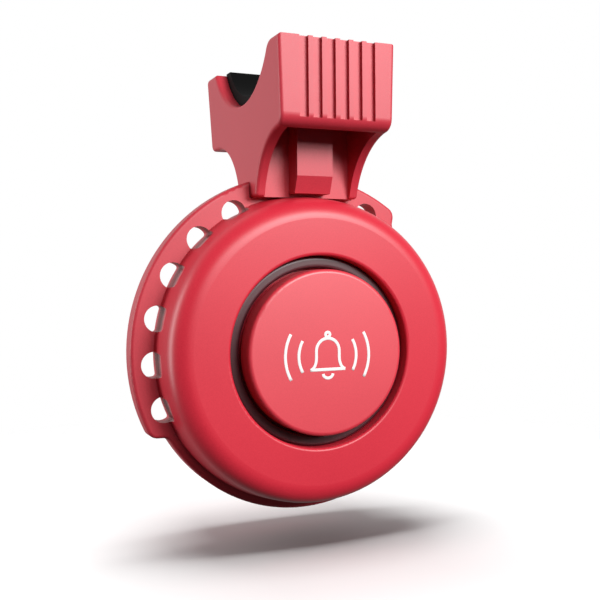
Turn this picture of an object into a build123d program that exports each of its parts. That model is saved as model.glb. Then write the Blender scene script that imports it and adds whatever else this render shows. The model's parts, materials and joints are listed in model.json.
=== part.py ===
from build123d import *
import os
from math import cos, radians, sin, sqrt

# Electronic push-button bicycle bell: a round sounder case hangs under a saddle that is tied on
# top of a handlebar. Millimetres. The origin is where the bar rests: midway along the lowest
# line of the saddle's rubber liner. +X runs along the bar, -Y points at the rider (the button
# side) and +Z is up. The bell's own axis is parallel to Y.

# ---- driving dimensions ------------------------------------------------------------------------
bar_radius = 11.1            # 22.2 mm handlebar, the inside of the rubber liner
saddle_radius = 12.7         # 25.4 mm handlebar, the bare moulded saddle
bell_drop = 48.4             # the bell's axis below the bar's axis
bar_z = bar_radius           # the bar's axis above the origin
bell_z = bar_z - bell_drop

face_y = -9.7                # flat front face of the case
plate_front_y = -2.6         # base plate, front and rear faces
plate_rear_y = 0.4
back_y = 8.7                 # rear face of the rear housing
drum_radius, drum_front_radius, drum_round = 22.45, 21.4, 3.0   # rim, front and front edge
groove_radius = 13.6         # outer wall of the groove round the button
button_radius = 11.64
button_y = -11.3

ring_radius = 23.65          # base plate's rim
tab_radius = 25.7            # base plate's wider tab, over part of the turn
tab_start, tab_end = 52.5, 207.0     # degrees from +X, seen from the front
tab_slant = 9                # the tab's ends run out this many degrees further down
port_pitch = 16.4            # degrees between the sound ports through the tab
port_angles = [62] + [118 + port_pitch * step for step in range(6)]
port_radius = 1.86           # a port is this circle
port_circle = 22.4           # centred this far from the bell's axis
port_floor = 21.8            # and cut off this far from it

bracket_half = 8.65          # half width of the bracket at its top, along the bar
bracket_toe_half = 7.95      # and at its foot: both sides have the same draft
inside_half = 6.7            # half width between its two side plates
block_y = -15.3              # ribbed thumb face
bracket_top = -6.0
channel_count, channel_pitch = 6, 1.987
channel_width, channel_depth = 1.3, 0.55
channel_bottom = -16.7

cell_radius, cell_height = 8.0, 3.2  # coin cell, 16 mm by 3.2 mm
cell_drop = 7.0              # cells sit this far below the bell's axis
screw_circle = 16.6
screw_angles = [16, 164, 215, 325]
screw_radius, screw_hole = 1.0, 1.05 # M2 self-tapping screws
case_screw_tip = 4.0         # how far the case screws reach into the front shell

os.makedirs("parts", exist_ok=True)


# ---- helpers -----------------------------------------------------------------------------------
def facing(y, x=0.0, up=0.0):
    """Plane square to the bell's axis: local x is +X, local y is +Z, and it extrudes forward."""
    return Plane(origin=(x, y, bell_z + up), x_dir=(1, 0, 0), z_dir=(0, -1, 0))


def section(up=0.0):
    """Plane for profiles turned about an axis along Y: local x is the radius, local y is Y."""
    return Plane.XY.offset(bell_z + up)


def axis_y(up=0.0):
    return Axis((0, 0, bell_z + up), (0, 1, 0))


def side(x=0.0):
    """Plane square to the bar, with its middle on the bar's axis: local x is +Y, local y is +Z,
    and it extrudes along +X."""
    return Plane(origin=(x, 0, bar_z), x_dir=(0, 1, 0), z_dir=(1, 0, 0))


def polar(radius, angle):
    return (radius * cos(radians(angle)), radius * sin(radians(angle)))


def save(piece, label):
    piece.part.label = label
    export_step(piece.part, f"parts/{label}.step")


def turned(points, up=0.0):
    """A ring or disc turned from (radius, y) points about the bell's axis, or one below it."""
    with BuildPart() as ring:
        with BuildSketch(section(up)):
            with BuildLine():
                Polyline(*points, close=True)
            make_face()
        revolve(axis=axis_y(up))
    return ring


screw_spots = [polar(screw_circle, a) for a in screw_angles]
port_spots = [polar(port_circle, a) for a in port_angles]
board_screw_spots = [polar(13.2, a) for a in (90, 210, 330)]
board_screw_radius, board_screw_hole = 0.7, 0.75
foot_screw_spots = [(5.5, 20.9), (-5.5, 20.9)]
foot_screw_reach = 2.6       # depth of their holes in the base plate
head_radius, head_height, drive_slot = 1.75, 1.2, 0.45
head_pocket = 1.95

# ---- front shell: round drum with the button's well in its face -----------------------------------
shell_inner = 18.4
flute_length, flute_taper = 4.0, 6
notch_floor, notch_half = 22.05, 8.15     # the bracket's notch: floor from the bell's axis, half width
boss_radius = 2.1
shell_ceiling = -8.0         # inside of the front face
well_outer = 14.9
well_floor, well_back = -6.5, -5.3
skirt_hole = 10.2
gasket_inner, gasket_outer, gasket_depth = 18.55, 19.35, 0.8

with BuildSketch() as ports:
    with Locations(*port_spots):
        Circle(port_radius)
    Circle(port_floor, mode=Mode.SUBTRACT)
    fillet(ports.vertices(), 0.4)

with BuildPart() as front_shell:
    with BuildSketch(section()) as shell_profile:
        with BuildLine():
            Polyline(
                (groove_radius, face_y),
                (drum_front_radius, face_y),
                (drum_radius, plate_front_y),
                (shell_inner, plate_front_y),
                (shell_inner, shell_ceiling),
                (well_outer, shell_ceiling),
                (well_outer, well_back),
                (skirt_hole, well_back),
                (skirt_hole, well_floor),
                (groove_radius, well_floor),
                close=True,
            )
        make_face()
        fillet(shell_profile.vertices().group_by(Axis.Y)[0].sort_by(Axis.X)[-1], drum_round)
        fillet(shell_profile.vertices().group_by(Axis.Y)[0].sort_by(Axis.X)[0], 0.45)
    revolve(axis=axis_y())
    # screw bosses, from the inside of the face to the rim
    with BuildSketch(facing(plate_front_y)):
        with Locations(*screw_spots):
            Circle(boss_radius)
    extrude(amount=plate_front_y - shell_ceiling)
    with BuildSketch(facing(plate_front_y)):
        with Locations(*screw_spots):
            Circle(screw_hole)
    extrude(amount=case_screw_tip + 0.3, mode=Mode.SUBTRACT)
    # rebate for the case gasket
    with BuildSketch(facing(plate_front_y)):
        Circle(gasket_outer)
        Circle(gasket_inner, mode=Mode.SUBTRACT)
    extrude(amount=gasket_depth, mode=Mode.SUBTRACT)
    # sound flutes: each port runs on into the drum's side and fades away before its front edge
    with BuildSketch(facing(plate_front_y)):
        add(ports.sketch)
    extrude(amount=flute_length, taper=flute_taper, mode=Mode.SUBTRACT)
    # flat on the rim, under the bracket
    with BuildSketch(facing(plate_front_y)):
        with Locations((0, notch_floor + 5)):
            Rectangle(2 * notch_half, 10)
    extrude(amount=plate_front_y - face_y, mode=Mode.SUBTRACT)
save(front_shell, "front_shell")

# ---- case gasket: square rubber ring in the rebate of the drum's rim ------------------------------
case_gasket = turned([
    (gasket_inner, plate_front_y - gasket_depth),
    (gasket_outer, plate_front_y - gasket_depth),
    (gasket_outer, plate_front_y),
    (gasket_inner, plate_front_y),
])
save(case_gasket, "case_gasket")

# ---- button seal: rubber ring that closes the groove round the button -----------------------------
seal_inner, seal_outer, seal_top = 11.85, 13.55, -8.1
with BuildPart() as button_seal:
    with BuildSketch(section()) as seal_profile:
        with Locations(((seal_inner + seal_outer) / 2, (well_floor + seal_top) / 2)):
            Rectangle(seal_outer - seal_inner, well_floor - seal_top)
        fillet(seal_profile.vertices().group_by(Axis.Y)[0], 0.8)
    revolve(axis=axis_y())
save(button_seal, "button_seal")

# ---- button cap: disc, three snap legs and a stem over the switch ---------------------------------
cap_step = -8.0
cap_inside = -9.7
leg_outer, leg_inner = 9.9, 9.0
leg_end, hook_top, hook_radius = -4.5, -5.2, 10.7
stem_radius, stem_end = 2.0, -8.6

with BuildPart() as snap_leg:
    with BuildSketch(section()):
        with BuildLine():
            Polyline(
                (leg_inner, cap_step - 0.5),
                (leg_outer, cap_step - 0.5),
                (leg_outer, hook_top),
                (hook_radius, hook_top),
                (leg_outer + 0.1, leg_end),
                (leg_inner, leg_end),
                close=True,
            )
        make_face()
    revolve(axis=axis_y(), revolution_arc=40)

with BuildPart() as button_cap:
    with BuildSketch(section()) as cap_profile:
        with BuildLine():
            Polyline(
                (0, button_y),
                (button_radius, button_y),
                (button_radius, cap_step),
                (leg_inner, cap_step),
                (leg_inner, cap_inside),
                (stem_radius, cap_inside),
                (stem_radius, stem_end),
                (0, stem_end),
                close=True,
            )
        make_face()
        fillet(cap_profile.vertices().group_by(Axis.Y)[0].sort_by(Axis.X)[-1], 0.55)
    revolve(axis=axis_y())
    for turn in (70, 190, 310):
        add(snap_leg.part.rotate(axis_y(), turn))
save(button_cap, "button_cap")

# ---- base plate: round plate with a wide perforated tab -------------------------------------------
plate_thickness = plate_rear_y - plate_front_y
board_pocket, board_thickness = 15.0, 1.0
plate_opening = 11.0

with BuildPart() as base_plate:
    with BuildSketch(facing(plate_rear_y)) as plate_outline:
        with BuildLine():
            rim = CenterArc((0, 0), tab_radius, tab_start, tab_end - tab_start)
            below, above = polar(20, tab_end + tab_slant), polar(20, tab_start - tab_slant)
            Polyline(rim @ 1, below, (0, 0), above, rim @ 0)
        make_face()
        Circle(ring_radius)
        corners = plate_outline.vertices().filter_by(lambda v: abs(Vector(*v).length - tab_radius) < 0.01)
        fillet(corners, 1.6)
        steps = plate_outline.vertices().filter_by(lambda v: abs(Vector(*v).length - ring_radius) < 0.01)
        fillet(steps, 1.2)
    extrude(amount=plate_thickness)
    fillet(base_plate.edges().filter_by(Axis.Y, reverse=True), 0.5)
    # notch that the bracket's foot fills
    with BuildSketch(facing(plate_rear_y)):
        with Locations((0, notch_floor + 5)):
            Rectangle(2 * notch_half, 10)
    extrude(amount=plate_thickness, mode=Mode.SUBTRACT)
    # ports, case screws and the opening to the batteries
    with BuildSketch(facing(plate_rear_y)):
        Circle(plate_opening)
        add(ports.sketch)
        with Locations(*screw_spots):
            Circle(screw_hole)
    extrude(amount=plate_thickness, mode=Mode.SUBTRACT)
    with BuildSketch(facing(plate_front_y + board_thickness)):
        Circle(board_pocket)
    extrude(amount=board_thickness, mode=Mode.SUBTRACT)
    with BuildSketch(facing(plate_rear_y - 0.3)):
        with Locations(*board_screw_spots):
            Circle(board_screw_hole)
    extrude(amount=plate_thickness, mode=Mode.SUBTRACT)
    with BuildSketch(facing(plate_rear_y)):
        with Locations(*foot_screw_spots):
            Circle(screw_hole)
    extrude(amount=foot_screw_reach, mode=Mode.SUBTRACT)
save(base_plate, "base_plate")

# ---- bracket: one moulding, saddle above, hollow ribbed thumb block in front, foot at the back ----
leg_back, foot_bottom = 2.3, -29.2
leg_bottom = notch_floor - bell_drop
ear_bottom_y, ear_top_y, ear_bottom = 14.3, 15.5, -17.65
front_arc = (-15.5, -28.5, 10.75)     # centre y, centre z and radius of the sweep under the block
rear_arc = (11.56, -26.9, 9.25)      # and of the one under the rear ear
shell_radius = 14.3          # underside of the saddle's floor
front_wall, top_wall = 1.7, 1.7
web_front, web_back = -4.4, -2.6
post_half, post_front, post_crease, post_bottom = 2.75, -7.56, -23.5, -25.9
foot_top = -21.5

with BuildPart() as bracket:
    with BuildSketch(side(-bracket_half)) as outline:
        with BuildLine():
            block_corner = (block_y, front_arc[1] + sqrt(front_arc[2] ** 2 - (block_y - front_arc[0]) ** 2))
            toe_y = front_arc[0] + sqrt(front_arc[2] ** 2 - (leg_bottom - front_arc[1]) ** 2)
            turn_in = front_arc[2] / sqrt(2)
            Polyline(
                (toe_y, leg_bottom),
                (plate_rear_y, leg_bottom),
                (plate_rear_y, foot_bottom),
                (leg_back, foot_bottom),
                (leg_back, rear_arc[1]),
            )
            rear_turn = rear_arc[2] / sqrt(2)
            ThreePointArc(
                (leg_back, rear_arc[1]),
                (rear_arc[0] - rear_turn, rear_arc[1] + rear_turn),
                (rear_arc[0], ear_bottom),
            )
            notch_y = sqrt(saddle_radius ** 2 - bracket_top ** 2)
            Polyline(
                (rear_arc[0], ear_bottom),
                (ear_bottom_y, ear_bottom),
                (ear_top_y, bracket_top),
                (notch_y, bracket_top),
            )
            ThreePointArc((notch_y, bracket_top), (0, -saddle_radius), (-notch_y, bracket_top))
            Polyline((-notch_y, bracket_top), (block_y, bracket_top), block_corner)
            ThreePointArc(
                block_corner,
                (front_arc[0] + turn_in, front_arc[1] + turn_in),
                (toe_y, leg_bottom),
            )
        make_face()
        at_top = outline.vertices().group_by(Axis.Y)[-1].sort_by(Axis.X)
        fillet(at_top[1], 2.2)
        fillet(outline.vertices().sort_by_distance((ear_top_y, bracket_top))[0], 0.8)
        fillet(outline.vertices().sort_by_distance((ear_bottom_y, ear_bottom))[0], 1.0)
        fillet(outline.vertices().sort_by_distance(block_corner)[0], 1.7)
        fillet(outline.vertices().sort_by_distance((toe_y, leg_bottom))[0], 0.5)
    extrude(amount=2 * bracket_half)
    # draft: the sides lean in towards the foot
    with BuildSketch(Plane(origin=(0, ear_top_y + 1, bar_z), x_dir=(1, 0, 0), z_dir=(0, -1, 0))):
        with BuildLine():
            Polyline(
                (-bracket_toe_half, foot_bottom),
                (bracket_toe_half, foot_bottom),
                (bracket_half, bracket_top),
                (-bracket_half, bracket_top),
                close=True,
            )
        make_face()
    extrude(amount=ear_top_y - block_y + 2, mode=Mode.INTERSECT)
    fillet(bracket.faces().sort_by(Axis.X)[0].edges() + bracket.faces().sort_by(Axis.X)[-1].edges(), 0.5)
    # hollow under the thumb block, and the one between the web and the rear ear
    with BuildSketch(side(-inside_half)):
        with BuildLine():
            Polyline(
                (block_y + front_wall, leg_bottom - 5),
                (web_front, leg_bottom - 5),
                (web_front, bracket_top - top_wall),
                (block_y + front_wall, bracket_top - top_wall),
                close=True,
            )
        make_face()
        with BuildLine():
            Polyline(
                (web_back, foot_top),
                (leg_back + 5, foot_top),
                (ear_bottom_y - front_wall, ear_bottom - 4),
                (ear_top_y - front_wall, bracket_top - top_wall),
                (web_back, bracket_top - top_wall),
                close=True,
            )
        make_face()
        Circle(shell_radius, mode=Mode.SUBTRACT)
    extrude(amount=2 * inside_half, mode=Mode.SUBTRACT)
    # post in the middle of the front hollow, with a sloped toe
    with BuildSketch(side(-post_half)):
        with BuildLine():
            in_floor = (saddle_radius + shell_radius) / 2
            Polyline(
                (web_front, post_bottom),
                (post_front + 1.0, post_bottom),
                (post_front, post_crease),
                (post_front, -sqrt(in_floor ** 2 - post_front ** 2)),
                (web_front, -sqrt(in_floor ** 2 - web_front ** 2)),
                close=True,
            )
        make_face()
    extrude(amount=2 * post_half)
    # grip channels down the thumb face
    with BuildSketch(Plane(origin=(0, block_y, bar_z), x_dir=(1, 0, 0), z_dir=(0, -1, 0))):
        channel_height = bracket_top - channel_bottom + 2
        with Locations((0, channel_bottom + channel_height / 2)):
            with GridLocations(channel_pitch, 1, channel_count, 1):
                Rectangle(channel_width, channel_height)
    extrude(amount=-channel_depth, mode=Mode.SUBTRACT)
    # foot screws, with a flat seat for each head
    with BuildSketch(facing(leg_back)):
        with Locations(*foot_screw_spots):
            Circle(screw_hole)
    extrude(amount=leg_back - plate_rear_y, mode=Mode.SUBTRACT)
    with BuildSketch(facing(leg_back + 1.5)):
        with Locations(*foot_screw_spots):
            Circle(head_pocket)
    extrude(amount=1.5, mode=Mode.SUBTRACT)
save(bracket, "bracket")

# ---- saddle liner: rubber strip that grips the bar, held between the side plates ------------------
liner_top = -5.7
with BuildPart() as saddle_liner:
    with BuildSketch(side(-inside_half)):
        Circle(saddle_radius)
        Circle(bar_radius, mode=Mode.SUBTRACT)
        with Locations((0, liner_top + saddle_radius)):
            Rectangle(4 * saddle_radius, 2 * saddle_radius, mode=Mode.SUBTRACT)
    extrude(amount=2 * inside_half)
save(saddle_liner, "saddle_liner")

# ---- rear housing: cup behind the base plate, with the battery opening and a sounder grille -------
housing_radius, housing_wall = 19.0, 1.5
housing_inner = housing_radius - housing_wall
ceiling_y = back_y - housing_wall
column_radius, head_seat = 2.4, 4.0
opening_radius, lug_radius, lug_arc, lug_turn = 9.2, 9.7, 26, 40
lug_angles = [30, 150, 270]
sounder_up, sounder_radius = 10.8, 6.0

with BuildPart() as rear_housing:
    with BuildSketch(section()) as housing_profile:
        with BuildLine():
            Polyline(
                (0, back_y),
                (housing_radius, back_y),
                (housing_radius, plate_rear_y),
                (housing_inner, plate_rear_y),
                (housing_inner, ceiling_y),
                (0, ceiling_y),
                close=True,
            )
        make_face()
        fillet(housing_profile.vertices().group_by(Axis.Y)[-1].sort_by(Axis.X)[-1], 0.8)
    revolve(axis=axis_y())
    with BuildSketch(facing(ceiling_y)):
        with Locations(*screw_spots):
            Circle(column_radius)
    extrude(amount=ceiling_y - plate_rear_y)
    # socket that holds the sounder's rim
    with BuildSketch(facing(ceiling_y)):
        with Locations((0, sounder_up)):
            Circle(sounder_radius + 0.8)
            Circle(sounder_radius, mode=Mode.SUBTRACT)
    extrude(amount=1.8)
    # keep the socket inside the cup
    with BuildSketch(facing(back_y)):
        Circle(housing_radius + 5)
        Circle(housing_radius, mode=Mode.SUBTRACT)
    extrude(amount=back_y - plate_rear_y, mode=Mode.SUBTRACT)
    # battery opening with three bayonet gates, and the grille
    with BuildSketch(facing(back_y)):
        with Locations((0, -cell_drop)):
            Circle(opening_radius)
        with Locations((0, sounder_up)):
            Circle(0.6)
            with PolarLocations(3.0, 6):
                Circle(0.6)
    extrude(amount=housing_wall, mode=Mode.SUBTRACT)
    for angle in lug_angles:
        with BuildSketch(facing(back_y, up=-cell_drop)):
            with BuildLine():
                gate = CenterArc((0, 0), lug_radius + 0.25, angle - lug_turn - lug_arc / 2 - 2, lug_arc + 4)
                Line(gate @ 1, (0, 0))
                Line((0, 0), gate @ 0)
            make_face()
        extrude(amount=housing_wall, mode=Mode.SUBTRACT)
    # screw holes with pockets for the heads
    with BuildSketch(facing(back_y)):
        with Locations(*screw_spots):
            Circle(screw_hole)
    extrude(amount=back_y - plate_rear_y, mode=Mode.SUBTRACT)
    with BuildSketch(facing(back_y)):
        with Locations(*screw_spots):
            Circle(head_pocket)
    extrude(amount=back_y - head_seat, mode=Mode.SUBTRACT)
save(rear_housing, "rear_housing")

# ---- battery door: coin-slotted disc with three bayonet lugs --------------------------------------
door_radius, door_face_y = 8.9, 7.3
skirt_inner, skirt_end = 8.3, 6.1
lug_back = 6.9
seal_groove_radius, seal_front_y, seal_back_y = 8.3, 7.7, 8.3

with BuildPart() as battery_door:
    with BuildSketch(section(-cell_drop)) as door_profile:
        with BuildLine():
            Polyline(
                (0, back_y),
                (door_radius, back_y),
                (door_radius, seal_back_y),
                (seal_groove_radius, seal_back_y),
                (seal_groove_radius, seal_front_y),
                (door_radius, seal_front_y),
                (door_radius, door_face_y - 0.6),
                (seal_groove_radius, door_face_y - 0.6),
                (seal_groove_radius, door_face_y),
                (0, door_face_y),
                close=True,
            )
        make_face()
        fillet(door_profile.vertices().group_by(Axis.Y)[-1].sort_by(Axis.X)[-1], 0.3)
    revolve(axis=axis_y(-cell_drop))
    for angle in lug_angles:
        for inner, outer, low, high in (
            (skirt_inner, door_radius, skirt_end, door_face_y),
            (skirt_inner, lug_radius, skirt_end, lug_back),
        ):
            with BuildSketch(facing(high, up=-cell_drop)):
                with BuildLine():
                    wide = CenterArc((0, 0), outer, angle - lug_arc / 2, lug_arc)
                    tight = CenterArc((0, 0), inner, angle - lug_arc / 2, lug_arc)
                    Line(wide @ 0, tight @ 0)
                    Line(wide @ 1, tight @ 1)
                make_face()
            extrude(amount=high - low)
    # coin slot
    with BuildSketch(facing(back_y, up=-cell_drop)):
        SlotOverall(13, 1.7)
    extrude(amount=0.8, mode=Mode.SUBTRACT)
save(battery_door, "battery_door")

# ---- door seal: rubber ring in the door's groove --------------------------------------------------
door_seal = turned([
    (seal_groove_radius, seal_front_y),
    (door_radius + 0.15, seal_front_y),
    (door_radius + 0.15, seal_back_y),
    (seal_groove_radius, seal_back_y),
], up=-cell_drop)
save(door_seal, "door_seal")

# ---- circuit board and what is soldered to it -----------------------------------------------------
board_front, board_back = plate_front_y, plate_front_y + board_thickness
board_radius = board_pocket - 0.2
pin_spots = [(-2.5, 9.0), (2.5, 9.0)]
pin_radius = 0.3

with BuildPart() as circuit_board:
    with BuildSketch(facing(board_back)):
        Circle(board_radius)
        with Locations(*board_screw_spots):
            Circle(board_screw_hole, mode=Mode.SUBTRACT)
        with Locations(*pin_spots):
            Circle(pin_radius + 0.05, mode=Mode.SUBTRACT)
    extrude(amount=board_thickness)
save(circuit_board, "circuit_board")

# push switch with its own bore, and the plunger that the cap's stem pushes
switch_size, switch_front = 8.0, -6.0
plunger_radius, plunger_end = 1.65, -4.6
with BuildPart() as switch_body:
    with BuildSketch(facing(board_front)):
        Rectangle(switch_size, switch_size)
    extrude(amount=board_front - switch_front)
    with BuildSketch(facing(board_front - 0.6)):
        Circle(plunger_radius + 0.1)
    extrude(amount=board_front - switch_front, mode=Mode.SUBTRACT)
    chamfer(switch_body.edges().filter_by(Axis.Y).group_by(SortBy.LENGTH)[-1], 0.3)
save(switch_body, "switch_body")

with BuildPart() as switch_plunger:
    with BuildSketch(facing(plunger_end)):
        Circle(plunger_radius)
    extrude(amount=plunger_end - stem_end)
    chamfer(switch_plunger.edges().sort_by(Axis.Y)[0], 0.2)
save(switch_plunger, "switch_plunger")

# return spring between the switch and the cap
spring_radius, spring_wire = 3.2, 0.2
spring_length = switch_front - cap_inside - 2 * spring_wire - 0.1
with BuildPart() as button_spring:
    with BuildLine():
        seat = (0, switch_front - spring_wire, bell_z)
        coil = Helix(spring_length / 4, spring_length, spring_radius, center=seat, direction=(0, -1, 0))
    with BuildSketch(Plane(origin=coil @ 0, z_dir=coil % 0)):
        Circle(spring_wire)
    sweep()
save(button_spring, "button_spring")

with BuildPart() as driver_chip:
    with BuildSketch(facing(board_back + 1.3)):
        with Locations((-4.6, 4.4)):
            Rectangle(5, 4)
    extrude(amount=1.3)
    chamfer(driver_chip.edges().group_by(Axis.Y)[-1], 0.25)
save(driver_chip, "driver_chip")

with BuildPart() as boost_coil:
    with BuildSketch(facing(board_back + 1.8)):
        with Locations((5, 4.4)):
            Circle(2.2)
    extrude(amount=1.8)
    with BuildSketch(facing(board_back + 1.4)):
        with Locations((5, 4.4)):
            Circle(2.3)
            Circle(1.6, mode=Mode.SUBTRACT)
    extrude(amount=1.0, mode=Mode.SUBTRACT)
save(boost_coil, "boost_coil")

with BuildPart() as capacitors:
    with BuildSketch(facing(board_front)):
        with Locations((-6.2, -1.6), (-6.2, 1.6), (6.2, 0)):
            Rectangle(1.4, 2.2)
    extrude(amount=1.2)
save(capacitors, "capacitors")

with BuildPart() as board_screws:
    with BuildSketch(facing(board_front)):
        with Locations(*board_screw_spots):
            Circle(1.3)
    extrude(amount=0.8)
    with BuildSketch(facing(board_front + 2.4)):
        with Locations(*board_screw_spots):
            Circle(board_screw_radius)
    extrude(amount=2.4)
save(board_screws, "board_screws")

# ---- sounder: open cup against the grille, with a thin disc in its step ---------------------------
sounder_front, sounder_step = 2.0, 5.8
disc_thickness = 0.3
sounder_case = turned([
    (0, sounder_front),
    (sounder_radius - 0.05, sounder_front),
    (sounder_radius - 0.05, ceiling_y),
    (5.5, ceiling_y),
    (5.5, sounder_step),
    (5.0, sounder_step),
    (5.0, sounder_front + 0.8),
    (0, sounder_front + 0.8),
], up=sounder_up)
save(sounder_case, "sounder_case")

sounder_disc = turned([
    (0, sounder_step),
    (5.5, sounder_step),
    (5.5, sounder_step + disc_thickness),
    (0, sounder_step + disc_thickness),
], up=sounder_up)
save(sounder_disc, "sounder_disc")

with BuildPart() as sounder_pins:
    with BuildSketch(facing(sounder_front)):
        with Locations(*pin_spots):
            Circle(pin_radius)
    extrude(amount=sounder_front - board_front + 0.4)
save(sounder_pins, "sounder_pins")

# ---- batteries, their carrier and contacts --------------------------------------------------------
cell_front = 0.7
carrier_inner, carrier_outer, carrier_back = 8.15, 9.4, 5.8
blade_thickness, blade_half = 0.3, 1.5

for label, front in (("front_cell", cell_front), ("back_cell", cell_front + cell_height)):
    coin_cell = turned([
        (0, front),
        (cell_radius - 0.9, front),
        (cell_radius - 0.9, front + 0.25),
        (cell_radius, front + 0.5),
        (cell_radius, front + cell_height),
        (0, front + cell_height),
    ], up=-cell_drop)
    save(coin_cell, label)

with BuildPart() as battery_carrier:
    with BuildSketch(facing(cell_front, up=-cell_drop)):
        Circle(carrier_outer)
        Circle(4.0, mode=Mode.SUBTRACT)
    extrude(amount=cell_front - plate_rear_y)
    with BuildSketch(facing(carrier_back, up=-cell_drop)):
        Circle(carrier_outer)
        Circle(carrier_inner, mode=Mode.SUBTRACT)
    extrude(amount=carrier_back - cell_front)
    # slot for the contact blade that touches the cells' rims
    with BuildSketch(facing(carrier_back, up=-cell_drop)):
        with Locations((0, carrier_outer)):
            Rectangle(2 * blade_half + 0.6, 4.0)
    extrude(amount=carrier_back - plate_rear_y, mode=Mode.SUBTRACT)
save(battery_carrier, "battery_carrier")

with BuildPart() as positive_contact:
    with BuildSketch(facing(carrier_back - 0.8, up=-cell_drop)):
        with Locations((0, cell_radius + blade_thickness / 2)):
            Rectangle(2 * blade_half, blade_thickness)
    extrude(amount=carrier_back - 0.8 - board_back)
save(positive_contact, "positive_contact")

with BuildPart() as negative_contact:
    with BuildSketch(side(-blade_half)):
        with BuildLine():
            contact_z = -bell_drop - cell_drop
            Polyline(
                (board_back, contact_z + 3.0),
                (board_back, contact_z + 0.8),
                (cell_front - blade_thickness, contact_z - 1.4),
                (cell_front - blade_thickness, contact_z - 3.2),
                (cell_front, contact_z - 3.2),
                (cell_front, contact_z - 1.2),
                (board_back + blade_thickness, contact_z + 1.0),
                (board_back + blade_thickness, contact_z + 3.0),
                close=True,
            )
        make_face()
    extrude(amount=2 * blade_half)
save(negative_contact, "negative_contact")

# ---- fasteners ------------------------------------------------------------------------------------
def pan_screws(spots, seat_y, reach):
    """Pan-head screws driven from behind, one solid each, with a cross recess in the head."""
    with BuildPart() as screws:
        with BuildSketch(facing(seat_y + head_height)):
            with Locations(*spots):
                Circle(head_radius)
        extrude(amount=head_height)
        fillet(screws.edges().group_by(Axis.Y)[-1], 0.5)
        with BuildSketch(facing(seat_y)):
            with Locations(*spots):
                Circle(screw_radius)
        extrude(amount=reach)
        with BuildSketch(facing(seat_y + head_height)):
            with Locations(*spots):
                Rectangle(2.0, drive_slot)
                Rectangle(drive_slot, 2.0)
        extrude(amount=0.7, mode=Mode.SUBTRACT)
    return screws


case_screws = pan_screws(screw_spots, head_seat, head_seat - plate_front_y + case_screw_tip)
save(case_screws, "case_screws")

foot_screws = pan_screws(foot_screw_spots, leg_back, leg_back - plate_rear_y + foot_screw_reach - 0.3)
save(foot_screws, "foot_screws")
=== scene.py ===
import json
from math import cos, pi, radians, sin, tan

import bmesh
import bpy
from mathutils import Matrix, Quaternion, Vector


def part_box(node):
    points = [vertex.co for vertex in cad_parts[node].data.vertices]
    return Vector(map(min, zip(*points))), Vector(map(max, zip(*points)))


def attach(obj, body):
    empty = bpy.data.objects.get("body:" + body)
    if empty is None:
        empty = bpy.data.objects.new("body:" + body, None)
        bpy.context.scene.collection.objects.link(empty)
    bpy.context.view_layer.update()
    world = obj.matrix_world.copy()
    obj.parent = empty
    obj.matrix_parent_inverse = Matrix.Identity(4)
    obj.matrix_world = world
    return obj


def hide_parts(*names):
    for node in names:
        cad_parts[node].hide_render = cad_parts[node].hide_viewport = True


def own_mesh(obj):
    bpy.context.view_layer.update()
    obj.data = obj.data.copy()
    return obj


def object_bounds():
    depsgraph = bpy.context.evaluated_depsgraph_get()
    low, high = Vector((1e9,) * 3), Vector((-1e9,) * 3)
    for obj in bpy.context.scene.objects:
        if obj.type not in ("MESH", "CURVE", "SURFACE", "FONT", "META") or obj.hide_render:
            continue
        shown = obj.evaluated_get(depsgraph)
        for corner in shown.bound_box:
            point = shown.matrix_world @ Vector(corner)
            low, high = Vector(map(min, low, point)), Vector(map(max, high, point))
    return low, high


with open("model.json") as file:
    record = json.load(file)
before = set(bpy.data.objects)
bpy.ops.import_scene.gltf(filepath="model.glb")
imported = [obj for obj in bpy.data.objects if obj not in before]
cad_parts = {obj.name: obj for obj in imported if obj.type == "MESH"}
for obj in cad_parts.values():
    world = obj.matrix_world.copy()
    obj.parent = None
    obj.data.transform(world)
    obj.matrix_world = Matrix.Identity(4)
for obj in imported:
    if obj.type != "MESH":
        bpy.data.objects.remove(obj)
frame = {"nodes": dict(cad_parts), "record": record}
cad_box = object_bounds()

MM = 0.001
nodes = frame["nodes"]
scene = bpy.context.scene
weld, fine_weld = 0.000001, 0.0000005    # points closer than this are one point

# ---- camera ---------------------------------------------------------------------------------------
camera_azimuth, camera_elevation, camera_roll = -23.314, 1.455, -0.5365
camera_spot = Vector((-52.0, -122.35, -26.8)) * MM
camera_lens = 53.04


def make_camera():
    data = bpy.data.cameras.new("camera")
    data.lens = camera_lens
    data.sensor_width = 36.0
    data.clip_start = 0.005
    data.clip_end = 20.0
    camera = bpy.data.objects.new("camera", data)
    scene.collection.objects.link(camera)
    turn, lift = radians(camera_azimuth), radians(camera_elevation)
    back = Vector((sin(turn) * cos(lift), -cos(turn) * cos(lift), sin(lift)))
    camera.rotation_mode = "QUATERNION"
    roll = Quaternion((0, 0, 1), radians(camera_roll))
    camera.rotation_quaternion = (-back).to_track_quat("-Z", "Y") @ roll
    camera.location = camera_spot
    scene.camera = camera

# ---- node trees -----------------------------------------------------------------------------------
def step(tree, kind, inputs=None, **settings):
    """One node: its settings first, then each input as a number or as another node's socket."""
    node = tree.nodes.new(kind)
    for name, value in settings.items():
        setattr(node, name, value)
    for key, value in (inputs or {}).items():
        if isinstance(value, bpy.types.NodeSocket):
            tree.links.new(value, node.inputs[key])
        else:
            node.inputs[key].default_value = value
    return node


def reckon(tree, operation, first, second):
    """The result of one Math node."""
    return step(tree, "ShaderNodeMath", {0: first, 1: second}, operation=operation).outputs[0]


# ---- studio ---------------------------------------------------------------------------------------
lamp_aim = Vector((0.0, 0.0, -0.029))
floor_gap = 4 * MM                       # the floor lies this far below the object
floor_radius = 0.6
fade_start, fade_end = 0.05, 0.12        # the floor fades out between these distances from the middle


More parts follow.
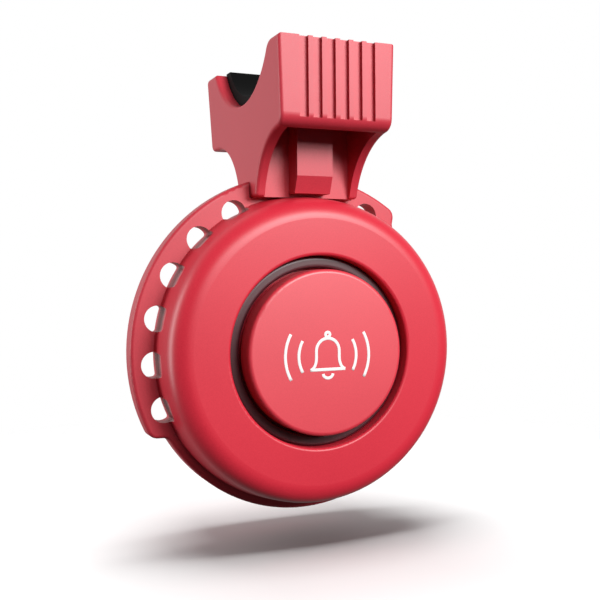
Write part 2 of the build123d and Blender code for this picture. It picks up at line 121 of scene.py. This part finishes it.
def softbox(name, spot, size, watts):
    data = bpy.data.lights.new(name, "AREA")
    data.shape = "RECTANGLE"
    data.size, data.size_y = size
    data.energy = watts
    lamp = bpy.data.objects.new(name, data)
    scene.collection.objects.link(lamp)
    lamp.location = Vector(spot)
    lamp.rotation_mode = "QUATERNION"
    lamp.rotation_quaternion = (lamp_aim - lamp.location).to_track_quat("-Z", "Y")
    return lamp


def make_world(backdrop=1.0, behind=0.8, before=0.12, below=0.35):
    """White backdrop. As light it is bright behind the object and dim before and below it."""
    world = bpy.data.worlds.new("studio")
    scene.world = world
    world.use_nodes = True
    tree = world.node_tree
    tree.nodes.clear()
    where = step(tree, "ShaderNodeTexCoord")
    parts = step(tree, "ShaderNodeSeparateXYZ", {0: where.outputs["Generated"]})
    fore_and_aft = step(
        tree,
        "ShaderNodeMapRange",
        {
            "Value": parts.outputs["Y"],
            "From Min": -0.05,
            "From Max": 0.60,
            "To Min": before,
            "To Max": behind,
        },
        interpolation_type="SMOOTHSTEP",
    )
    up_and_down = step(
        tree,
        "ShaderNodeMapRange",
        {"Value": parts.outputs["Z"], "From Min": -0.4, "From Max": 0.1, "To Min": below, "To Max": 1.0},
    )
    strength = reckon(tree, "MULTIPLY", fore_and_aft.outputs[0], up_and_down.outputs[0])
    white = (1, 1, 1, 1)
    glow = step(tree, "ShaderNodeBackground", {"Color": white, "Strength": strength})
    plain = step(tree, "ShaderNodeBackground", {"Color": white, "Strength": backdrop})
    camera_ray = step(tree, "ShaderNodeLightPath").outputs["Is Camera Ray"]
    mix = step(tree, "ShaderNodeMixShader", {0: camera_ray, 1: glow.outputs[0], 2: plain.outputs[0]})
    step(tree, "ShaderNodeOutputWorld", {"Surface": mix.outputs[0]})


def make_floor():
    """Pale disc under the object that fades into the white backdrop."""
    mesh = bpy.data.meshes.new("floor")
    shape = bmesh.new()
    bmesh.ops.create_circle(shape, cap_ends=True, radius=floor_radius, segments=96)
    shape.to_mesh(mesh)
    shape.free()
    mesh.transform(Matrix.Translation((0, 0, cad_box[0].z - floor_gap)))
    floor = bpy.data.objects.new("floor", mesh)
    scene.collection.objects.link(floor)
    stuff = bpy.data.materials.new("floor_white")
    stuff.use_nodes = True
    tree = stuff.node_tree
    tree.nodes.clear()
    where = step(tree, "ShaderNodeTexCoord").outputs["Object"]
    flat = step(tree, "ShaderNodeVectorMath", {0: where, 1: (1, 1, 0)}, operation="MULTIPLY")
    away = step(tree, "ShaderNodeVectorMath", {0: flat.outputs[0]}, operation="LENGTH")
    fade = step(
        tree,
        "ShaderNodeMapRange",
        {"Value": away.outputs["Value"], "From Min": fade_start, "From Max": fade_end},
        interpolation_type="SMOOTHSTEP",
    )
    near = step(tree, "ShaderNodeBsdfDiffuse", {"Color": (0.86, 0.86, 0.86, 1)})
    far = step(tree, "ShaderNodeBsdfTransparent")
    mix = step(tree, "ShaderNodeMixShader", {0: fade.outputs[0], 1: near.outputs[0], 2: far.outputs[0]})
    step(tree, "ShaderNodeOutputMaterial", {"Surface": mix.outputs[0]})
    mesh.materials.append(stuff)
    floor.visible_diffuse = False
    floor.visible_glossy = False
    return floor


def make_studio():
    """One box lights only the floor, for the shadow, and three light only the object."""
    make_world()
    floor = make_floor()
    only_the_floor = bpy.data.collections.new("only_the_floor")
    only_the_floor.objects.link(floor)
    overhead = softbox("overhead_box", (0.0, 0.0, 0.30), (0.22, 0.16), 1.45)
    overhead.light_linking.receiver_collection = only_the_floor
    off_the_floor = bpy.data.collections.new("off_the_floor")
    off_the_floor.objects.link(floor)
    off_the_floor.collection_objects[0].light_linking.link_state = "EXCLUDE"
    for lamp in (
        softbox("key_box", (0.03, -0.24, 0.10), (0.20, 0.10), 0.50),
        softbox("front_box", (0.14, -0.30, 0.09), (0.18, 0.12), 0.96),
        softbox("left_box", (-0.27, 0.10, 0.0), (0.07, 0.26), 0.55),
    ):
        lamp.light_linking.receiver_collection = off_the_floor
    scene.view_settings.view_transform = "Standard"

# ---- materials ------------------------------------------------------------------------------------
drift_scale, grain_scale, ring_scale = 60.0, 6000.0, 9000.0
grain_share = 0.55                       # how much of the tone follows the grain, not the drift
relief_height = 0.00001


def new_effect(name, inputs):
    """An empty shader group with named inputs, its entry and its exit."""
    group = bpy.data.node_groups.new(name, "ShaderNodeTree")
    for label, kind, value in inputs:
        socket = group.interface.new_socket(label, in_out="INPUT", socket_type="NodeSocket" + kind)
        socket.default_value = value
    for label, kind in (("Color", "Color"), ("Roughness", "Float"), ("Height", "Float")):
        group.interface.new_socket(label, in_out="OUTPUT", socket_type="NodeSocket" + kind)
    return group, group.nodes.new("NodeGroupInput"), group.nodes.new("NodeGroupOutput")


def end_effect(group, enter, leave, tone_share, relief):
    """The share mixes the two tones, and the relief gives the roughness and the height."""
    tone = step(
        group,
        "ShaderNodeMix",
        {"Factor": tone_share, "A": enter.outputs["Tone A"], "B": enter.outputs["Tone B"]},
        data_type="RGBA",
    )
    rough = step(
        group,
        "ShaderNodeMapRange",
        {"Value": relief, "To Min": enter.outputs["Rough Low"], "To Max": enter.outputs["Rough High"]},
    )
    group.links.new(tone.outputs["Result"], leave.inputs["Color"])
    group.links.new(rough.outputs[0], leave.inputs["Roughness"])
    group.links.new(relief, leave.inputs["Height"])


def moulded_effect():
    """Shared effect: fine moulding grain, and a tone that follows the grain and a slow drift."""
    group, enter, leave = new_effect(
        "moulded_finish",
        (
            ("Tone A", "Color", (0.5, 0.5, 0.5, 1)),
            ("Tone B", "Color", (0.5, 0.5, 0.5, 1)),
            ("Drift Scale", "Float", drift_scale),
            ("Grain Scale", "Float", grain_scale),
            ("Rough Low", "Float", 0.35),
            ("Rough High", "Float", 0.45),
        ),
    )
    where = step(group, "ShaderNodeTexCoord").outputs["Object"]
    drift = step(
        group, "ShaderNodeTexNoise", {"Vector": where, "Scale": enter.outputs["Drift Scale"], "Detail": 3.0}
    )
    grain = step(
        group, "ShaderNodeTexNoise", {"Vector": where, "Scale": enter.outputs["Grain Scale"], "Detail": 2.0}
    )
    tone_share = step(
        group, "ShaderNodeMix", {"Factor": grain_share, 2: drift.outputs["Fac"], 3: grain.outputs["Fac"]}
    )
    end_effect(group, enter, leave, tone_share.outputs[0], grain.outputs["Fac"])
    return group


def ring_effect():
    """Shared effect: the fine rings that a turned or drawn metal face has round its own axis."""
    group, enter, leave = new_effect(
        "turned_rings",
        (
            ("Tone A", "Color", (0.6, 0.6, 0.6, 1)),
            ("Tone B", "Color", (0.7, 0.7, 0.7, 1)),
            ("Axis Place", "Vector", (0, 0, 0)),
            ("Ring Scale", "Float", ring_scale),
            ("Rough Low", "Float", 0.2),
            ("Rough High", "Float", 0.35),
        ),
    )
    where = step(group, "ShaderNodeTexCoord").outputs["Object"]
    centred = step(
        group, "ShaderNodeVectorMath", {0: where, 1: enter.outputs["Axis Place"]}, operation="SUBTRACT"
    )
    flat = step(group, "ShaderNodeVectorMath", {0: centred.outputs[0], 1: (1, 0, 1)}, operation="MULTIPLY")
    radius = step(group, "ShaderNodeVectorMath", {0: flat.outputs[0]}, operation="LENGTH")
    rings = step(
        group,
        "ShaderNodeTexNoise",
        {"W": radius.outputs["Value"], "Scale": enter.outputs["Ring Scale"]},
        noise_dimensions="1D",
    )
    end_effect(group, enter, leave, rings.outputs["Fac"], rings.outputs["Fac"])
    return group


moulded = moulded_effect()
ringed = ring_effect()


def effect_material(name, effect, tones, rough, values, bump, sockets):
    """A material whose colour, roughness and fine relief come from a shared effect."""
    stuff = bpy.data.materials.new(name)
    stuff.use_nodes = True
    tree = stuff.node_tree
    shader = tree.nodes["Principled BSDF"]
    for socket, value in sockets.items():
        shader.inputs[socket.replace("_", " ")].default_value = value
    shades = {"Tone A": (*tones[0], 1), "Tone B": (*tones[1], 1)}
    roughness = {"Rough Low": rough[0], "Rough High": rough[1]}
    made = step(tree, "ShaderNodeGroup", {**shades, **roughness, **values}, node_tree=effect)
    skin = step(
        tree,
        "ShaderNodeBump",
        {"Height": made.outputs["Height"], "Strength": bump, "Distance": relief_height},
    )
    tree.links.new(made.outputs["Color"], shader.inputs["Base Color"])
    tree.links.new(made.outputs["Roughness"], shader.inputs["Roughness"])
    tree.links.new(skin.outputs["Normal"], shader.inputs["Normal"])
    return stuff


def moulded_material(name, tones, rough, **sockets):
    values = {"Drift Scale": drift_scale, "Grain Scale": grain_scale}
    return effect_material(name, moulded, tones, rough, values, 0.2, sockets)


def ringed_metal(name, tones, rough, node):
    """Metal with rings round the axis, parallel to Y, through the middle of a CAD node."""
    low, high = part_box(node)
    values = {"Axis Place": (low + high) / 2, "Ring Scale": ring_scale}
    return effect_material(name, ringed, tones, rough, values, 0.25, {"Metallic": 1.0})


red_shell = moulded_material("red_shell", ((0.49, 0.012, 0.030), (0.73, 0.034, 0.058)), (0.34, 0.44))
red_frame = moulded_material(
    "red_frame", ((0.42, 0.018, 0.034), (0.62, 0.040, 0.062)), (0.40, 0.52), Specular_IOR_Level=0.48
)
red_button = moulded_material(
    "red_button", ((0.54, 0.022, 0.040), (0.78, 0.046, 0.070)), (0.38, 0.48), Specular_IOR_Level=0.9
)
liner_rubber = moulded_material(
    "liner_rubber", ((0.002, 0.002, 0.002), (0.004, 0.004, 0.004)), (0.60, 0.72), Specular_IOR_Level=0.08
)
# dark maroon seal tones: painted shade, the red groove floor's shade given to the ring as its own colour
seal_rubber_painted_shade = moulded_material(
    "seal_rubber_painted_shade", ((0.050, 0.008, 0.012), (0.075, 0.014, 0.020)), (0.34, 0.44), Specular_IOR_Level=0.6
)
black_plastic = moulded_material("black_plastic", ((0.02, 0.02, 0.022), (0.028, 0.028, 0.03)), (0.45, 0.55))
board_green = moulded_material("board_green", ((0.015, 0.14, 0.05), (0.02, 0.17, 0.06)), (0.25, 0.35))
ferrite = moulded_material("ferrite", ((0.06, 0.05, 0.045), (0.08, 0.07, 0.06)), (0.5, 0.65))
white_ink = moulded_material("white_ink", ((0.80, 0.78, 0.77), (0.88, 0.86, 0.85)), (0.45, 0.55))
steel = moulded_material("plated_steel", ((0.62, 0.62, 0.63), (0.70, 0.70, 0.70)), (0.22, 0.34), Metallic=1.0)
brass = ringed_metal("sounder_brass", ((0.68, 0.48, 0.20), (0.80, 0.58, 0.28)), (0.24, 0.40), "sounder_disc")
cell_steel = ringed_metal("cell_steel", ((0.60, 0.60, 0.61), (0.72, 0.72, 0.72)), (0.18, 0.34), "back_cell")

finish_of_slot = {
    "red_shell": red_shell,
    "red_button": red_button,
    "black_rubber": seal_rubber_painted_shade,
    "black_plastic": black_plastic,
    "board": board_green,
    "ferrite": ferrite,
    "spring_steel": steel,
    "contact_steel": steel,
    "cell_steel": cell_steel,
    "screw_steel": steel,
    "sounder_brass": brass,
}


def dress_nodes():
    finish_of_node = {"bracket": red_frame, "base_plate": red_frame, "saddle_liner": liner_rubber}
    for part in frame["record"]["subparts"]:
        finish = finish_of_node.get(part["node"], finish_of_slot[part["material_slot"]])
        for slot in nodes[part["node"]].material_slots:
            slot.material = finish

# ---- geometry trees -------------------------------------------------------------------------------
def new_tree(name, inputs):
    """An empty geometry tree with named inputs, its entry and its exit."""
    tree = bpy.data.node_groups.new(name, "GeometryNodeTree")
    for label, kind in inputs:
        tree.interface.new_socket(label, in_out="INPUT", socket_type="NodeSocket" + kind)
    tree.interface.new_socket("Geometry", in_out="OUTPUT", socket_type="NodeSocketGeometry")
    return tree, tree.nodes.new("NodeGroupInput"), tree.nodes.new("NodeGroupOutput")


crease_angle = 0.6                       # radians; edges that turn more than this stay sharp


def finish_tree(tree, enter, leave, geometry):
    """Smooth faces, sharp edges past the crease angle, plain geometry and its material."""
    angle = step(tree, "GeometryNodeInputMeshEdgeAngle")
    sharp = step(
        tree, "FunctionNodeCompare", {0: angle.outputs[0], 1: crease_angle}, operation="GREATER_THAN"
    )
    smooth = step(tree, "GeometryNodeSetShadeSmooth", {"Geometry": geometry, "Shade Smooth": True})
    edges = step(
        tree,
        "GeometryNodeSetShadeSmooth",
        {"Geometry": smooth.outputs[0], "Selection": sharp.outputs[0], "Shade Smooth": False},
        domain="EDGE",
    )
    plain = step(tree, "GeometryNodeRealizeInstances", {"Geometry": edges.outputs[0]})
    painted = step(
        tree,
        "GeometryNodeSetMaterial",
        {"Geometry": plain.outputs[0], "Material": enter.outputs["Material"]},
    )
    tree.links.new(painted.outputs[0], leave.inputs[0])


def face_outward(mesh):
    shape = bmesh.new()
    shape.from_mesh(mesh)
    bmesh.ops.remove_doubles(shape, verts=shape.verts, dist=fine_weld)
    bmesh.ops.recalc_face_normals(shape, faces=shape.faces)
    shape.to_mesh(mesh)
    shape.free()


def baked(name, tree, values, outline=(), spots=()):
    """The tree's result as a plain mesh at the origin. It reads an outline and loose spots."""
    line = bpy.data.meshes.new(name + "_line")
    points = [(radius, y, 0) for radius, y in outline] + [tuple(spot) for spot in spots]
    line.from_pydata(points, [(i, i + 1) for i in range(len(outline) - 1)], [])
    maker = bpy.data.objects.new(name + "_maker", line)
    scene.collection.objects.link(maker)
    modifier = maker.modifiers.new("tree", "NODES")
    modifier.node_group = tree
    for item in tree.interface.items_tree:
        if item.in_out == "INPUT" and item.name in values:
            modifier[item.identifier] = values[item.name]
    seen = maker.evaluated_get(bpy.context.evaluated_depsgraph_get())
    mesh = bpy.data.meshes.new_from_object(seen)
    mesh.name = name
    face_outward(mesh)
    bpy.data.objects.remove(maker)
    bpy.data.meshes.remove(line)
    piece = bpy.data.objects.new(name, mesh)
    scene.collection.objects.link(piece)
    return piece


def turned_tree():
    """A turned body: the outline (radius, y) goes round an axis that is parallel to Y.
    Past the thread's start, towards -Y, a helical ridge can stand on it."""
    tree, enter, leave = new_tree(
        "turned_body",
        (
            ("Outline", "Geometry"),
            ("Turn Steps", "Int"),
            ("Axis Height", "Float"),
            ("Thread Start", "Float"),
            ("Thread Pitch", "Float"),
            ("Thread Depth", "Float"),
            ("Material", "Material"),
        ),
    )
    size = step(tree, "GeometryNodeAttributeDomainSize", {"Geometry": enter.outputs["Outline"]})
    rows = size.outputs["Point Count"]
    columns = reckon(tree, "ADD", enter.outputs["Turn Steps"], 1)
    grid = step(tree, "GeometryNodeMeshGrid", {"Vertices X": columns, "Vertices Y": rows})
    index = step(tree, "GeometryNodeInputIndex").outputs[0]
    column = reckon(tree, "FLOOR", reckon(tree, "DIVIDE", reckon(tree, "ADD", index, 0.5), rows), 0)
    row = reckon(tree, "SUBTRACT", index, reckon(tree, "MULTIPLY", column, rows))
    spot = step(tree, "GeometryNodeInputPosition").outputs[0]
    outline = step(
        tree,
        "GeometryNodeSampleIndex",
        {"Geometry": enter.outputs["Outline"], "Value": spot, "Index": row},
        data_type="FLOAT_VECTOR",
    )
    parts = step(tree, "ShaderNodeSeparateXYZ", {0: outline.outputs[0]})
    share = reckon(tree, "DIVIDE", column, enter.outputs["Turn Steps"])
    turn = reckon(tree, "MULTIPLY", share, 2 * pi)
    leads = reckon(tree, "DIVIDE", parts.outputs["Y"], enter.outputs["Thread Pitch"])
    ridge = reckon(tree, "PINGPONG", reckon(tree, "ADD", leads, share), 0.5)
    threaded = reckon(tree, "LESS_THAN", parts.outputs["Y"], enter.outputs["Thread Start"])
    swell = reckon(tree, "MULTIPLY", reckon(tree, "MULTIPLY", ridge, threaded), enter.outputs["Thread Depth"])
    radius = reckon(tree, "MULTIPLY", parts.outputs["X"], reckon(tree, "ADD", swell, 1.0))
    x = reckon(tree, "MULTIPLY", radius, reckon(tree, "COSINE", turn, 0))
    z = reckon(tree, "MULTIPLY", radius, reckon(tree, "SINE", turn, 0))
    height = reckon(tree, "ADD", z, enter.outputs["Axis Height"])
    place = step(tree, "ShaderNodeCombineXYZ", {0: x, 1: parts.outputs["Y"], 2: height})
    moved = step(tree, "GeometryNodeSetPosition", {"Geometry": grid.outputs[0], "Position": place.outputs[0]})
    closed = step(tree, "GeometryNodeMergeByDistance", {"Geometry": moved.outputs[0], "Distance": weld})
    finish_tree(tree, enter, leave, closed.outputs[0])
    return tree


def coil_tree():
    """A compression spring of round wire, wound along Y."""
    tree, enter, leave = new_tree(
        "wound_coil",
        (
            ("Turns", "Float"),
            ("Radius", "Float"),
            ("Length", "Float"),
            ("Wire Radius", "Float"),
            ("Seat", "Vector"),
            ("Material", "Material"),
        ),
    )
    line = step(
        tree,
        "GeometryNodeCurveSpiral",
        {
            "Resolution": 40,
            "Rotations": enter.outputs["Turns"],
            "Start Radius": enter.outputs["Radius"],
            "End Radius": enter.outputs["Radius"],
            "Height": enter.outputs["Length"],
        },
    )
    wire = step(
        tree, "GeometryNodeCurvePrimitiveCircle", {"Resolution": 12, "Radius": enter.outputs["Wire Radius"]}
    )
    body = step(
        tree,
        "GeometryNodeCurveToMesh",
        {"Curve": line.outputs[0], "Profile Curve": wire.outputs[0], "Fill Caps": True},
    )
    laid = step(
        tree,
        "GeometryNodeTransform",
        {"Geometry": body.outputs[0], "Rotation": (pi / 2, 0, 0), "Translation": enter.outputs["Seat"]},
    )
    finish_tree(tree, enter, leave, laid.outputs[0])
    return tree


def screw_tree(turned_body):
    """Cross-recessed screws, one on each loose spot, all turned from one outline."""
    tree, enter, leave = new_tree(
        "screw_set",
        (
            ("Outline And Spots", "Geometry"),
            ("Turn Steps", "Int"),
            ("Thread Start", "Float"),
            ("Thread Pitch", "Float"),
            ("Thread Depth", "Float"),
            ("Recess Size", "Vector"),
            ("Recess Height", "Float"),
            ("Material", "Material"),
        ),
    )
    joined = step(tree, "GeometryNodeInputMeshVertexNeighbors")
    is_outline = reckon(tree, "GREATER_THAN", joined.outputs["Vertex Count"], 0.5)
    apart = step(
        tree,
        "GeometryNodeSeparateGeometry",
        {"Geometry": enter.outputs["Outline And Spots"], "Selection": is_outline},
        domain="POINT",
    )
    body = step(tree, "GeometryNodeGroup", node_tree=turned_body)
    tree.links.new(apart.outputs["Selection"], body.inputs["Outline"])
    for name in ("Turn Steps", "Thread Start", "Thread Pitch", "Thread Depth", "Material"):
        tree.links.new(enter.outputs[name], body.inputs[name])
    recess_place = step(tree, "ShaderNodeCombineXYZ", {1: enter.outputs["Recess Height"]})
    bar = step(tree, "GeometryNodeMeshCube", {"Size": enter.outputs["Recess Size"]})
    blades = []
    for quarter in (0, pi / 2):
        blade = step(
            tree,
            "GeometryNodeTransform",
            {"Geometry": bar.outputs[0], "Rotation": (0, quarter, 0), "Translation": recess_place.outputs[0]},
        )
        blades.append(blade.outputs[0])
    cut = step(
        tree, "GeometryNodeMeshBoolean", {"Mesh 1": body.outputs[0]}, operation="DIFFERENCE", solver="EXACT"
    )
    for blade in blades:
        tree.links.new(blade, cut.inputs["Mesh 2"])
    placed = step(
        tree,
        "GeometryNodeInstanceOnPoints",
        {"Points": apart.outputs["Inverted"], "Instance": cut.outputs["Mesh"]},
    )
    real = step(tree, "GeometryNodeRealizeInstances", {"Geometry": placed.outputs[0]})
    finish_tree(tree, enter, leave, real.outputs[0])
    return tree


def rounded(points, radius, steps=6):
    """An outline's points with each inner corner rounded, and a point close beside each rounding."""
    beside = 0.2 * radius
    corners = [Vector(point) for point in points]
    smooth = [corners[0]]
    for before, corner, after in zip(corners, corners[1:], corners[2:]):
        one, two = (before - corner).normalized(), (after - corner).normalized()
        half = one.angle(two) / 2
        reach = radius / tan(half)
        middle = corner + (one + two).normalized() * radius / sin(half)
        start, end = corner + one * reach, corner + two * reach
        smooth.append(start + one * beside)
        for i in range(steps + 1):
            arm = (start - middle).normalized().slerp((end - middle).normalized(), i / steps)
            smooth.append(middle + arm * radius)
        smooth.append(end + two * beside)
    smooth.append(corners[-1])
    return [tuple(point) for point in smooth]

# ---- pieces ---------------------------------------------------------------------------------------
bell_height = (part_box("button_cap")[0].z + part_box("button_cap")[1].z) / 2


def mark_strokes():
    """The pictogram's strokes in its own units: points (x, z), and whether the stroke is closed."""
    flare, waist, crown, foot, skirt = 2.7, 1.75, 0.7, -1.9, 1.7
    quarter_turn = [pi / 2 * i / 8 for i in range(9)]
    left_side = [(-flare + (flare - waist) * sin(a), foot + skirt * (1 - cos(a))) for a in quarter_turn]
    dome = [(-waist * cos(a), crown + waist * sin(a)) for a in [pi * i / 16 for i in range(17)]]
    right_side = [(-x, z) for x, z in reversed(left_side)]
    rim = [(flare * (i / 6 - 1), foot) for i in range(13)]
    clapper_wide, clapper_deep, clapper_top = 0.75, 0.62, -2.5
    half_turn = [pi + pi * i / 10 for i in range(11)]
    clapper = [(clapper_wide * cos(a), clapper_top + clapper_deep * sin(a)) for a in half_turn]
    knob_radius, knob_height = 0.34, 2.95
    whole_turn = [2 * pi * i / 12 for i in range(12)]
    knob = [(knob_radius * cos(a), knob_height + knob_radius * sin(a)) for a in whole_turn]
    strokes = [(left_side + dome + right_side, False), (rim, False), (clapper, False), (knob, True)]
    spread = 0.52
    sweep = [spread * (i / 8 - 1) for i in range(17)]
    for side in (-1, 1):
        for reach in (4.4, 6.4):
            strokes.append(([(side * reach * cos(a), reach * sin(a)) for a in sweep], False))
    return strokes


def make_button_mark():
    """Printed pictogram: a bell with two sound arcs on each side."""
    cap_share, units_across, pen_radius = 0.6, 14, 0.23
    drop, ink_thickness = 0.4 * MM, 0.02 * MM
    low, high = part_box("button_cap")
    unit = cap_share * (high.x - low.x) / units_across
    line = bpy.data.curves.new("button_mark_line", "CURVE")
    line.dimensions = "3D"
    line.bevel_depth = pen_radius
    line.bevel_resolution = 3
    line.use_fill_caps = True
    for points, closed in mark_strokes():
        spline = line.splines.new("POLY")
        spline.points.add(len(points) - 1)
        for point, (x, z) in zip(spline.points, points):
            point.co = (x, 0, z, 1)
        spline.use_cyclic_u = closed
    maker = bpy.data.objects.new("button_mark_maker", line)
    scene.collection.objects.link(maker)
    seen = maker.evaluated_get(bpy.context.evaluated_depsgraph_get())
    mesh = bpy.data.meshes.new_from_object(seen)
    bpy.data.objects.remove(maker)
    flatten = Matrix.Diagonal((unit, ink_thickness / pen_radius, unit, 1))
    mesh.transform(Matrix.Translation((0, low.y, bell_height - drop)) @ flatten)
    face_outward(mesh)
    mark = bpy.data.objects.new("button_mark", mesh)
    scene.collection.objects.link(mark)
    mesh.materials.clear()
    mesh.materials.append(white_ink)
    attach(mark, "button")


def make_seal():
    """Rubber ring at the bottom of the groove, in dark maroon tones that paint in the groove's shade. It has
    no thread, but the pitch can't be nothing.
    """
    ring_width, ring_round = 1.7 * MM, 0.5 * MM
    low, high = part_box("button_seal")
    outer = (high.x - low.x) / 2
    inner = outer - ring_width
    top, foot = low.y, high.y
    middle = (inner + outer) / 2
    corners = [(middle, foot), (inner, foot), (inner, top), (outer, top), (outer, foot), (middle, foot)]
    values = {"Turn Steps": 160, "Axis Height": bell_height, "Thread Pitch": 1.0, "Material": seal_rubber_painted_shade}
    seal = baked("button_seal_ring", turned, values, rounded(corners, ring_round))
    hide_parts("button_seal")
    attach(seal, "root")


def make_spring():
    """Return spring, as long as the CAD node's spring."""
    low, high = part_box("button_spring")
    wire, turns, stroke = 0.2 * MM, 4.0, 1.0 * MM
    radius = (high.x - low.x) / 2 - wire
    seat = Vector((0, high.y - wire, bell_height))
    length = high.y - low.y - 2 * wire
    values = {"Turns": turns, "Radius": radius, "Length": length, "Wire Radius": wire, "Seat": seat}
    spring = baked("return_spring", wound, {**values, "Material": steel})
    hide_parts("button_spring")
    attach(spring, "root")
    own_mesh(spring)


def loose_boxes(node):
    """The low and high corner of each loose body in a CAD node, from left to right."""
    shape = bmesh.new()
    shape.from_mesh(nodes[node].data)
    bmesh.ops.remove_doubles(shape, verts=shape.verts, dist=weld)
    boxes, waiting = [], set(shape.verts)
    while waiting:
        island, edge_of_island = [], [waiting.pop()]
        while edge_of_island:
            point = edge_of_island.pop()
            island.append(point.co.copy())
            for edge in point.link_edges:
                other = edge.other_vert(point)
                if other in waiting:
                    waiting.discard(other)
                    edge_of_island.append(other)
        low = tuple(min(spot[axis] for spot in island) for axis in range(3))
        high = tuple(max(spot[axis] for spot in island) for axis in range(3))
        boxes.append((low, high))
    shape.free()
    return sorted(boxes)


head_radius, head_height, head_round = 1.75 * MM, 1.2 * MM, 0.32 * MM    # pan head
shank_radius, tip_length, tip_share = 1.0 * MM, 0.35 * MM, 0.7
thread_pitch, thread_start, thread_depth, rows_per_pitch = 0.8 * MM, -0.2 * MM, -0.36, 8
recess_width, recess_depth, recess_share = 0.45 * MM, 1.4 * MM, 0.58


def make_screws(node, piece_name):
    """Pan-head screws where the CAD node has its own: one for each of its loose bodies."""
    boxes = loose_boxes(node)
    reach = boxes[-1][1][1] - boxes[-1][0][1] - head_height
    spots = [((low[0] + high[0]) / 2, high[1] - head_height, (low[2] + high[2]) / 2) for low, high in boxes]
    under = [(head_radius * 0.5, 0), (head_radius, 0)]
    over = [(head_radius, head_height), (0, head_height)]
    rows = int(reach / thread_pitch * rows_per_pitch)
    shank = [(shank_radius, -(reach - tip_length) * i / rows) for i in range(rows, -1, -1)]
    outline = [(0, -reach), (shank_radius * tip_share, -reach)] + shank + rounded(under + over, head_round)
    values = {
        "Turn Steps": 32,
        "Thread Start": thread_start,
        "Thread Pitch": thread_pitch,
        "Thread Depth": thread_depth,
        "Recess Size": Vector((2 * head_radius * recess_share, recess_depth, recess_width)),
        "Recess Height": head_height,
        "Material": steel,
    }
    screws = baked(piece_name, screwed, values, outline, spots)
    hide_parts(node)
    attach(screws, "root")


turned = turned_tree()
wound = coil_tree()
screwed = screw_tree(turned)

make_camera()
make_studio()
dress_nodes()
make_button_mark()
make_seal()
make_spring()
make_screws("case_screws", "case_screw_set")
make_screws("foot_screws", "foot_screw_set")
